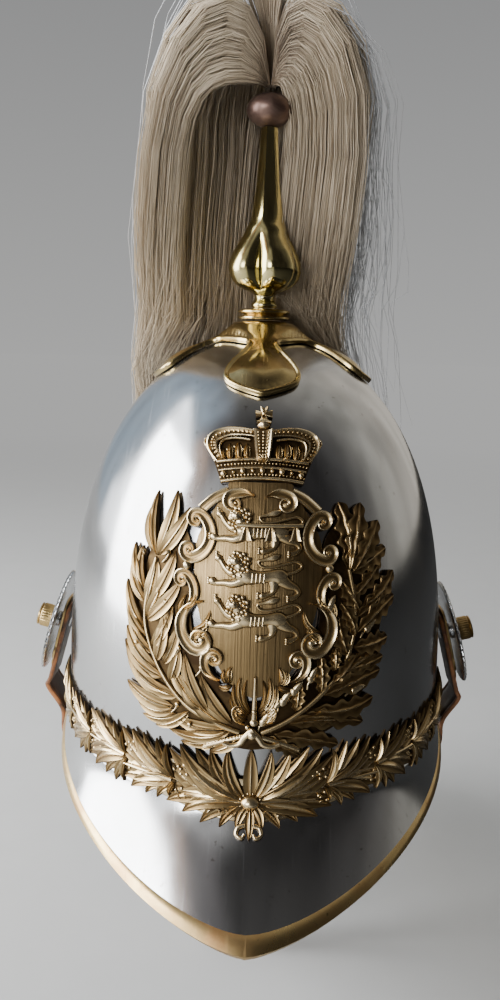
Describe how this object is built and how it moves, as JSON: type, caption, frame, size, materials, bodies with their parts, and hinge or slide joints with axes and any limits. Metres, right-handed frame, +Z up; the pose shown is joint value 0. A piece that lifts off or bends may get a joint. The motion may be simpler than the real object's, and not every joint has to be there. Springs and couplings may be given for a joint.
{
  "type": "cavalry parade helmet",
  "caption": "Metal parade helmet with a pointed peak and a long neck guard, a leaf band, a heraldic badge, a spike with a falling horsehair plume, and a chin strap held by ear rosettes.",
  "frame": {"origin": "middle of the head opening, on the brow line where the skull meets the peak and the neck guard", "axes": "-Y forwards, the way the wearer looks; +Z up; +X to the wearer's left"},
  "size_m": [0.2342, 0.3248, 0.4904],
  "materials": {
    "nickel_silver": "polished white metal with fine scratches",
    "polished_brass": "polished, a little tarnished",
    "struck_brass": "stamped relief, bright on the high places and brown in the low ones",
    "dark_bronze": "dark satin",
    "horsehair": "long loose hair, pale brown",
    "strap_leather": "dark brown with paler edges"
  },
  "bodies": {
    "root": {"skull": "nickel_silver", "front_peak": "nickel_silver", "neck_guard": "nickel_silver", "front_edging": "polished_brass", "rear_edging": "polished_brass", "front_band": "struck_brass", "rear_band": "struck_brass", "wreath": "struck_brass", "shield": "struck_brass", "crown": "struck_brass", "plume_base": "polished_brass", "spike_collar": "polished_brass", "plume_spike": "polished_brass", "plume_ball": "dark_bronze", "plume": "horsehair", "rosette_left": "nickel_silver", "rosette_right": "nickel_silver", "boss_left": "polished_brass", "boss_right": "polished_brass", "strap_plate_left": "polished_brass", "strap_plate_right": "polished_brass", "chin_strap": "strap_leather"}
  },
  "joints": []
}
